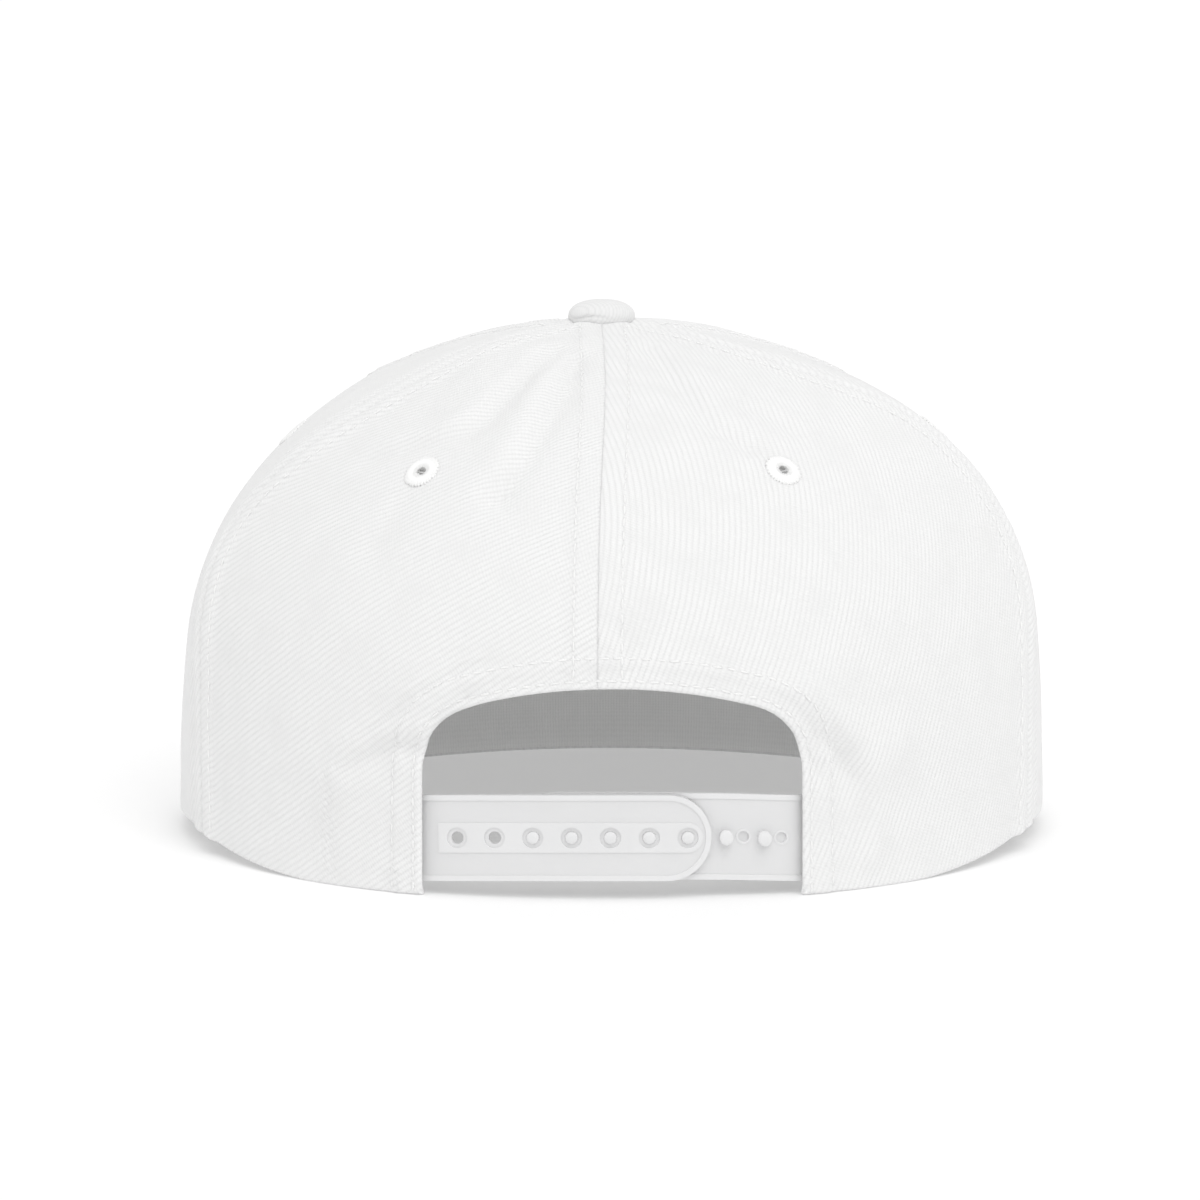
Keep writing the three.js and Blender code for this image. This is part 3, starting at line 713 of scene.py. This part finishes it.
seam_neighbours = {
    "back": ("left", "right"), "left": ("back", "front_left"), "right": ("back_again", "front_right"),
    "front_left": ("left", "front"), "front_right": ("right", "front"),
    "front": ("front_left", "front_right"),
}
for seam, neighbours in seam_neighbours.items():
    parts = []
    for way in (-1, 1):
        low = (arch_height + 0.5 * mm if seam == "back" else 1.5 * mm) / crown_height
        low_run = np.interp(low, climb_shares, climb_runs)
        share = np.interp(np.linspace(low_run, climb_end - 4.5 * mm, 500), climb_runs, climb_shares)
        centre = seam_azimuth(seam, share)
        spot = crown_form(centre, share)
        radius = np.hypot(spot[:, 0] - top_shift * share**4, spot[:, 1])
        azimuth = centre + way * np.degrees(allowance / radius)
        places = sewn_skin(azimuth, share, (seam, *neighbours), seam == "back")
        parts.append(stitches(places, way_out(crown_skin, azimuth, share)))
    thread_piece(f"{seam}_seam_stitches", parts)

parts = []
for off in (hem_near, hem_far):
    half_x, half_z = arch_outline(off, 500)
    x = np.concatenate([half_x[::-1], -half_x[1:]])
    z = np.concatenate([half_z[::-1], half_z[1:]])
    azimuth, share = found_on_crown(x, z)
    places = sewn_skin(azimuth, share, ("back",), True)
    parts.append(stitches(places, way_out(crown_skin, azimuth, share)))
thread_piece("arch_stitches", parts)

# Eyelets: one air hole in each panel, worked over with thick cotton thread in close radial
# wraps that turn down through the hole and make a raised ring on the cloth.
ring_outer, ring_hole, ring_rise, wraps = 4.0 * mm, 1.1 * mm, 0.55 * mm, 34
ring_middle, ring_half = (ring_outer + ring_hole) / 2, (ring_outer - ring_hole) / 2
wrap_start, wrap_turn = 205, 215      # degrees round the ring's section, from inside the hole outwards
wrap_radius, wrap_sink = 0.17 * mm, 0.25 * mm
wrap_spots, wrap_faces = grain_of_thread(6, 9)
for name, first, second in panels:
    azimuth, share = eyelets[name]
    place = sewn_skin(np.array([azimuth]), np.array([share]), (first, second), False)[0]
    out = Vector(way_out(crown_skin, np.float64(azimuth), np.float64(share)))
    turn = np.array(out.to_track_quat("Z", "Y").to_matrix())
    x, y, z = wrap_spots.T
    parts = []
    for wrap in range(wraps):
        spin = 2 * math.pi * (wrap + wobble.uniform(-0.2, 0.2)) / wraps
        reach = 1 + wobble.uniform(-0.04, 0.06)
        angle = np.radians(wrap_start - (x + 1) / 2 * wrap_turn)
        thick = z * wrap_radius
        radius = ring_middle + (ring_half * reach + thick) * flattened(np.cos(angle), 0.7)
        height = (ring_rise * reach + thick) * flattened(np.sin(angle), 0.6) - wrap_sink
        across = y * math.pi / wraps * 1.2 * radius + (x + 1) * 0.1 * mm
        parts.append((np.stack([radius * math.cos(spin) - across * math.sin(spin),
                                radius * math.sin(spin) + across * math.cos(spin), height], -1),
                      wrap_faces, wrap_spots[:, :2] * (0.7, 1)))
    strand = np.stack([x * ring_hole * 1.1, y * 0.13 * mm, z * 0.12 * mm - 0.3 * mm], -1)
    parts.append((strand, wrap_faces, wrap_spots[:, :2] * (0.7, 1)))
    bpy.ops.mesh.primitive_torus_add(major_segments=40, minor_segments=10, major_radius=ring_middle,
                                     minor_radius=ring_half * 0.94)
    core_spots, core_faces = taken_from(bpy.context.object)
    core_spots = core_spots * (1, 1, 0.48) - (0, 0, 0.15 * mm)
    parts.append((core_spots, core_faces, np.zeros((len(core_spots), 2))))
    parts = [(spots @ turn.T + place, faces, thread) for spots, faces, thread in parts]
    thread_piece(f"{name}_eyelet_thread", parts, f"{name}_eyelet")

# Button: a dished metal cap covered with a round of the same twill, gathered in underneath and
# riveted through the top of the crown where the six gores meet.
button_radius, button_rise = 7.4 * mm, 4.9 * mm
button_base = crown_height + 0.3 * mm
stem_radius, stem_length = 3.1 * mm, 4 * mm
bpy.ops.mesh.primitive_uv_sphere_add(segments=72, ring_count=36, radius=button_radius)
button = bpy.context.object
button.name = button.data.name = "button_cloth"
for vertex in button.data.vertices:
    around = math.atan2(vertex.co.y, vertex.co.x)
    climb = math.asin(max(-1, min(1, vertex.co.z / button_radius)))
    gathers = math.sin(9 * around + 0.7) + 0.6 * math.sin(14 * around)
    widest = 0.27 * button_rise
    if climb > 0:
        radius = button_radius * math.cos(climb) ** 0.8
        height = widest + (button_rise - widest) * math.sin(climb)
    else:
        radius = button_radius * math.cos(climb) ** 0.25
        height = widest + (widest + 1.2 * mm) * math.sin(climb)
    radius += gathers * 0.08 * mm * math.exp(-(((climb + 0.7) / 0.5) ** 2))
    # A pleat in the cloth, low on the side towards the wearer's left
    pleat = 0.9 * mm + 0.9 * mm * math.exp(-(((around - 1.35) / 0.5) ** 2))
    crease = math.exp(-(((around - 1.15) / 0.55) ** 2) - ((height - pleat) / (0.3 * mm)) ** 2)
    radius -= crease * 0.5 * mm
    place = Vector((radius * math.cos(around), radius * math.sin(around), button_base + height))
    vertex.co = axis + Vector((top_shift, 0, 0)) + place
for loop in button.data.loops:
    spot = button.data.vertices[loop.vertex_index].co - axis
    button.data.uv_layers[0].data[loop.index].uv = (spot.x, spot.y + (spot.z - crown_height) * 0.8)
button.data.uv_layers[0].name = "cloth"
bpy.ops.object.shade_smooth()
bpy.ops.mesh.primitive_cylinder_add(vertices=32, radius=stem_radius, depth=stem_length, location=(
    axis.x + top_shift, axis.y, button_base - stem_length / 2 + 0.3 * mm))
stem = bpy.context.object
stem.data.uv_layers[0].name = "cloth"
settle()
hold(button, stem)
bpy.ops.object.join()
button.data.materials.append(twill("button_twill", (0.79, 0.79, 0.788), rib=0.8 * mm, relief=0.03 * mm))
enter(button, "button")

# Sweatband: a strip of plain white cotton, folded over at its top and sewn in along the rim. It
# is open at the back and lies over the sewn ends of the straps.
band_height, band_wall, band_end, band_lift = 30 * mm, 1.2 * mm, 29, 1 * mm
strap_thickness, clearance = 1.2 * mm, 0.3 * mm
crown_wall = 1.6 * mm
strap_hidden = 13 * mm


def under_crown(azimuth, share, depth):
    return crown_skin(azimuth, share) - way_out(crown_skin, azimuth, share) * np.asarray(depth)[..., None]


band_columns, band_lines = 220, 34
band_azimuth, band_share = np.meshgrid(np.linspace(band_end, 360 - band_end, band_columns),
                                       np.linspace(0, 1, band_lines))
band_side = np.abs(wrapped(band_azimuth))
strap_end_turn = math.degrees((arch_half + strap_hidden) / half_length)
over = 1 - ease(band_side, strap_end_turn + 3, strap_end_turn + 14)
inset = crown_wall + clearance + over * (strap_thickness + 2 * clearance)
band_z = band_lift + (band_height - band_lift) * band_share
inset = inset - 0.25 * mm * bell(band_height - band_z - 4 * mm, 0.6 * mm)
# In front its lower edge is sewn over the visor's edge, and beside that it ends above the rim
at_foot = through(band_side, rim_azimuths, rim_lifts) * bell(band_z - band_lift, 3 * mm)
inset = inset + 1.3 * mm * at_foot
places = under_crown(band_azimuth, band_z / crown_height, inset)
places[..., 2] -= (0.5 + 3.5 * ease(band_side, 106, 120)) * mm * at_foot
band_flat = np.stack([np.radians(band_azimuth) * half_length, band_z], -1)
band = grid_of("sweatband_cloth", places, band_flat, flip=True)
thicken(band, band_wall)
cotton = twill("band_cotton", (0.92, 0.92, 0.915), rib=0.7 * mm, lean=0, relief=0.06 * mm)
band.data.materials.append(cotton)
enter(band, "sweatband")

# Visor: a flat board covered above and below with twill, turned in at the crown, with rows of
# stitches that follow its outer edge and a turned seam round that edge.
visor_reach, visor_half, visor_thick, visor_power = 68 * mm, 94 * mm, 3.6 * mm, 2.4
visor_tuck, visor_rows, visor_row_pitch = 1.2 * mm, 8, 6.5 * mm
visor_start = 180 - math.degrees(math.asin(visor_half / half_width))
corner_y = crown_form(np.float64(visor_start), np.float64(0))[1]


def visor_place(across, out):
    """Place on the visor's middle plane: across and out both go from 0 to 1."""
    rim = crown_form(visor_start + (360 - 2 * visor_start) * across, np.zeros_like(across))[..., :2]
    inner = rim * (1 - (crown_wall + visor_tuck) / np.linalg.norm(rim, axis=-1, keepdims=True))
    turn = across * math.pi
    corner_x = crown_form(np.float64(visor_start), np.float64(0))[0]
    side = flattened(np.cos(turn), 2 / visor_power) * corner_x
    front = corner_y - (half_length + visor_reach + corner_y) * np.sin(turn) ** (2 / visor_power)
    outer = np.stack([side, front], -1)
    return inner + (outer - inner) * out[..., None], np.linalg.norm(outer - inner, axis=-1)


visor_columns, visor_lines = 160, 60
out_lines = 1 - (1 - np.linspace(0, 1, visor_lines)) ** 1.6
across, out_share = np.meshgrid(np.linspace(0, 1, visor_columns), out_lines)
plan, length = visor_place(across, out_share)
from_edge = length * (1 - out_share)
edge_round = 1.2 * mm
sunk = edge_round - np.sqrt(np.maximum(edge_round**2 - np.maximum(edge_round - from_edge, 0) ** 2, 0))
rows = visor_row_pitch * np.arange(1, visor_rows + 1)
groove = sum(bell(from_edge - row, 0.6 * mm) for row in rows)
half_thick = visor_thick / 2 - sunk - 0.12 * mm * groove
sheets = []
for way in (1, -1):
    z = visor_thick / 2 + way * half_thick
    places = np.concatenate([plan, z[..., None]], -1)
    sheets.append(grid_of(f"visor_sheet_{way}", places, plan, flip=way > 0))
visor = sheets[0]
hold(*sheets)
bpy.ops.object.join()
edit_all()
bpy.ops.mesh.remove_doubles(threshold=0.02 * mm)
bpy.ops.mesh.select_all(action="DESELECT")
bpy.ops.mesh.select_non_manifold()
bpy.ops.mesh.bridge_edge_loops()
bpy.ops.object.mode_set(mode="OBJECT")
outward_normals()
bpy.ops.object.shade_smooth_by_angle(angle=math.radians(40))
visor.name = visor.data.name = "visor_cloth"
visor.data.materials.append(crown_twills[0])
enter(visor, "visor")

parts = []
for row in range(visor_rows):
    along = np.linspace(0.012, 0.988, 900)
    plan, length = visor_place(along, np.ones(900))
    inward = 1 - visor_row_pitch * (row + 1) / length
    kept = inward > 0.04
    plan, _ = visor_place(along[kept], inward[kept])
    for way in (1, -1):
        level = np.full(len(plan), visor_thick / 2 + way * (visor_thick / 2 - 0.1 * mm))
        places = np.concatenate([plan, level[:, None]], -1)
        normals = np.zeros_like(places) + np.array([0, 0, way])
        parts.append(stitches(places, normals))
thread_piece("visor_stitches", parts)

# Straps: two flexible strips of milky moulded plastic, sewn in behind the arch's sides. The
# outer one has a row of holes in ringed recesses on a raised band, and the inner one has the
# pegs that snap through them. Both have a raised border.
strap_width, strap_bottom, strap_droop, tip_beyond = 18.3 * mm, 3.9 * mm, 1.4 * mm, 4.9 * mm
hole_pitch, hole_count, hole_radius, first_hole, pegs_engaged = 8.05 * mm, 7, 1.35 * mm, -15.7 * mm, 5
border, border_rise = 1.15 * mm, 0.2 * mm
ridge_start, ridge_half = 36.7 * mm, 3.15 * mm      # the raised band round the holes
recess_radius, recess_deep = 2.2 * mm, 0.3 * mm
dimple_ring, dimple_hole, dimple_deep = 1.6 * mm, 1.15 * mm, 0.62 * mm
peg_over, peg_radius, peg_root = 0.4 * mm, 1 * mm, 0.6 * mm
past = 1 * mm                   # how far a cutting tool reaches beyond the plastic
strap_radius = half_length - strap_pull - crown_wall
strap_middle = strap_bottom + strap_width / 2
arch_reach = strap_radius * math.asin(arch_half / strap_radius)
hole_places = first_hole + hole_pitch * np.arange(hole_count)
peg_places = hole_places - (hole_count - pegs_engaged) * hole_pitch
strap_end = arch_reach + strap_hidden


def strap_place(along, up, depth):
    """Along the back, up from the strap's middle, and in from the cloth."""
    middle = strap_middle - strap_droop * (along / arch_reach) ** 2
    azimuth = np.degrees(along / strap_radius)
    return under_crown(azimuth, (middle + up) / crown_height, crown_wall + clearance + depth)


def box_between(low, high):
    bpy.ops.mesh.primitive_cube_add(size=1, location=[(a + b) / 2 for a, b in zip(low, high)],
                                    scale=[b - a for a, b in zip(low, high)])
    settle()
    return bpy.context.object


def disc(x, radius, low, high, vertices=64):
    """Round bar across the strap's face, from one depth to another."""
    bpy.ops.mesh.primitive_cylinder_add(vertices=vertices, radius=radius, depth=high - low,
                                        location=(x, (low + high) / 2, 0), rotation=(math.pi / 2, 0, 0))
    settle()
    return bpy.context.object


def combined(body, tools, operation):
    for tool in tools:
        change = body.modifiers.new("change", "BOOLEAN")
        change.operation = operation
        change.solver = "EXACT"
        change.object = tool
        bpy.context.view_layer.objects.active = body
        bpy.ops.object.modifier_apply(modifier="change")
        bpy.data.objects.remove(tool)
    return body


def lozenge(start, tip, half, low, high):
    """Bar from a square start to a round tip."""
    way = 1 if start < tip else -1
    middle = tip - way * half
    bar = box_between((min(start, middle), low, -half), (max(start, middle), high, half))
    return combined(bar, [disc(middle, half, low, high, 96)], "UNION")


def bend_strap(strap, offset_at):
    """Softened edges, then bent to its run along the inside of the crown."""
    hold(strap)
    soften = strap.modifiers.new("soften", "BEVEL")
    soften.width = 0.13 * mm
    soften.segments = 2
    soften.limit_method = "ANGLE"
    soften.angle_limit = math.radians(35)
    bpy.ops.object.modifier_apply(modifier="soften")
    edit_all()
    bpy.ops.mesh.quads_convert_to_tris()
    for cut in np.arange(-strap_end, strap_end, 1.5 * mm):
        bpy.ops.mesh.select_all(action="SELECT")
        bpy.ops.mesh.bisect(plane_co=(cut, 0, 0), plane_no=(1, 0, 0))
    for cut in np.linspace(-strap_width / 2, strap_width / 2, 9)[1:-1]:
        bpy.ops.mesh.select_all(action="SELECT")
        bpy.ops.mesh.bisect(plane_co=(0, 0, cut), plane_no=(0, 0, 1))
    bpy.ops.object.mode_set(mode="OBJECT")
    spots = np.array([vertex.co for vertex in strap.data.vertices])
    bent = strap_place(spots[:, 0], spots[:, 2], offset_at(spots[:, 0]) - spots[:, 1])
    strap.data.vertices.foreach_set("co", (bent + np.array(axis)).ravel())
    strap.data.update()
    bpy.ops.object.shade_smooth_by_angle(angle=math.radians(32))


def milky_plastic(name, darker, lighter):
    """Milky moulded plastic, faintly clouded and grained."""
    material, add, finish = node_material(name, {
        "Roughness": 0.42, "IOR": 1.46, "Subsurface Weight": 0.25, "Subsurface Radius": (1, 1, 1),
        "Subsurface Scale": 1.2 * mm})
    spot = add("ShaderNodeTexCoord", {}, "Object")
    clouds = add("ShaderNodeTexNoise", {"Vector": spot, "Scale": 1 / (12 * mm), "Detail": 3}, "Fac")
    grain = add("ShaderNodeTexNoise", {"Vector": spot, "Scale": 1 / (0.5 * mm), "Detail": 3}, "Fac")
    tints = [(level, level, 1.004 * level) for level in (darker, lighter)]
    finish({"Normal": add("ShaderNodeBump", {"Height": grain, "Strength": 0.25, "Distance": 0.03 * mm}),
            "Base Color": blend(add, clouds, *tints)})
    return material


thick_plastic = milky_plastic("milky_plastic", 0.74, 0.775)
# Painted shade: a darker copy of the milky plastic, for the floors of the recesses.
recess_shade_plastic = milky_plastic("milky_plastic_recess_shade", 0.71, 0.745)


def strap_finish(strap):
    """The thin floors of the recesses are given a darker tint than the raised parts, as painted shade."""
    strap.data.materials.append(thick_plastic)
    strap.data.materials.append(recess_shade_plastic)
    for face in strap.data.polygons:
        low = -strap_thickness + 0.2 * mm < face.center.y < -0.5 * border_rise
        face.material_index = 1 if low and face.normal.y > 0.7 else 0


face = 0.0
floor_of_field = -border_rise
outer_tip = hole_places[0] - tip_beyond
strap = lozenge(strap_end, outer_tip, strap_width / 2, -strap_thickness, face)
field = lozenge(strap_end + past, outer_tip + border, strap_width / 2 - border, floor_of_field, past)
combined(strap, [field], "DIFFERENCE")
ridge = lozenge(ridge_start, hole_places[0] - ridge_half, ridge_half, floor_of_field - border_rise, face)
combined(strap, [ridge], "UNION")
combined(strap, [disc(x, recess_radius, -recess_deep, past, 40) for x in hole_places], "DIFFERENCE")
combined(strap, [disc(x, hole_radius, -2 * strap_thickness, past, 32) for x in hole_places], "DIFFERENCE")
strap.name = strap.data.name = "outer_strap_plastic"
strap_finish(strap)
bend_strap(strap, lambda along: np.zeros_like(along))
enter(strap, "outer_strap")


def inner_offset(along):
    return (strap_thickness + clearance) * ease(along, -arch_reach, outer_tip - clearance)


inner_tip = peg_places[-1] + tip_beyond
strap = lozenge(-strap_end, inner_tip, strap_width / 2, -strap_thickness, face)
field = lozenge(-strap_end - past, inner_tip - border, strap_width / 2 - border, floor_of_field, past)
combined(strap, [field], "DIFFERENCE")
dimples = [x - hole_pitch / 2 for x in peg_places]
ring_top = floor_of_field + 0.12 * mm
combined(strap, [disc(x, dimple_ring, -0.7 * mm, ring_top, 40) for x in dimples], "UNION")
combined(strap, [disc(x, dimple_hole, -dimple_deep, past, 40) for x in dimples], "DIFFERENCE")
peg_top = strap_thickness + clearance + peg_over
for x in peg_places:
    bpy.ops.mesh.primitive_circle_add(vertices=28, radius=peg_radius, fill_type="NGON",
                                      location=(x, -peg_root, 0), rotation=(-math.pi / 2, 0, 0))
    peg = bpy.context.object
    settle()
    edit_all()
    steps = ((peg_root + peg_top - 1.15 * mm, 1), (0.25 * mm, 1.3), (0.4 * mm, 1.04), (0.3 * mm, 0.9),
             (0.14 * mm, 0.72), (0.06 * mm, 0.5))
    at = -peg_root
    for rise, grow in steps:
        at += rise
        bpy.ops.mesh.extrude_region_move(TRANSFORM_OT_translate={"value": (0, rise, 0)})
        bpy.ops.transform.resize(value=(grow, 1, grow), center_override=(x, at, 0))
    bpy.ops.mesh.select_all(action="SELECT")
    bpy.ops.mesh.normals_make_consistent(inside=False)
    if x < outer_tip:
        # A free peg stands in full view
        bpy.ops.transform.resize(value=(1.08, 1, 1.22), center_override=(x, 0, 0))
    bpy.ops.object.mode_set(mode="OBJECT")
    combined(strap, [peg], "UNION")
strap.name = strap.data.name = "inner_strap_plastic"
strap_finish(strap)
bend_strap(strap, inner_offset)
enter(strap, "inner_strap")

# Setting: a plain white floor, soft white light from all round with a broad lamp above the
# camera, and a long lens 1.2 m away and 8.5 degrees above level, as fitted to the outline in
# the photograph.
bpy.ops.mesh.primitive_plane_add(size=16, location=(0, 0, 0))
table = bpy.context.object
table.name = table.data.name = "floor"
paper = node_material("white_paper", {
    "Base Color": (0.72, 0.72, 0.72, 1), "Emission Color": (1, 1, 1, 1), "Emission Strength": 0.28,
    "Roughness": 0.9, "Specular IOR Level": 0})[0]
table.data.materials.append(paper)
table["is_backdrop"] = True

scene = bpy.context.scene
scene.view_settings.view_transform = "Standard"
world = bpy.data.worlds.new("studio")
scene.world = world
world.use_nodes = True
world.node_tree.nodes["Background"].inputs["Color"].default_value = (1, 1, 1, 1)
world.node_tree.nodes["Background"].inputs["Strength"].default_value = 0.8

# Even light from a broad patch of sky above the camera, azimuth taken from the cap's back
azimuth, elevation = math.radians(-15), math.radians(52)
key = bpy.data.lights.new("key", "SUN")
key.energy = 1.05
key.angle = math.radians(50)
lamp = bpy.data.objects.new("key", key)
level = math.cos(elevation)
way = Vector((math.sin(azimuth) * level, math.cos(azimuth) * level, math.sin(elevation)))
lamp.rotation_euler = way.to_track_quat("Z", "Y").to_euler()
bpy.context.collection.objects.link(lamp)

aim = axis + Vector((2.56 * mm, 0, 50.1 * mm))
reach, climb = 1.2, math.radians(8.5)
camera = bpy.data.objects.new("camera", bpy.data.cameras.new("camera"))
bpy.context.collection.objects.link(camera)
camera.location = aim + Vector((0, reach * math.cos(climb), reach * math.sin(climb)))
camera.rotation_euler = (aim - camera.location).to_track_quat("-Z", "Y").to_euler()
camera.data.sensor_width = 36
camera.data.lens = 161.5
camera.data.clip_end = 100
scene.camera = camera

low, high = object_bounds()
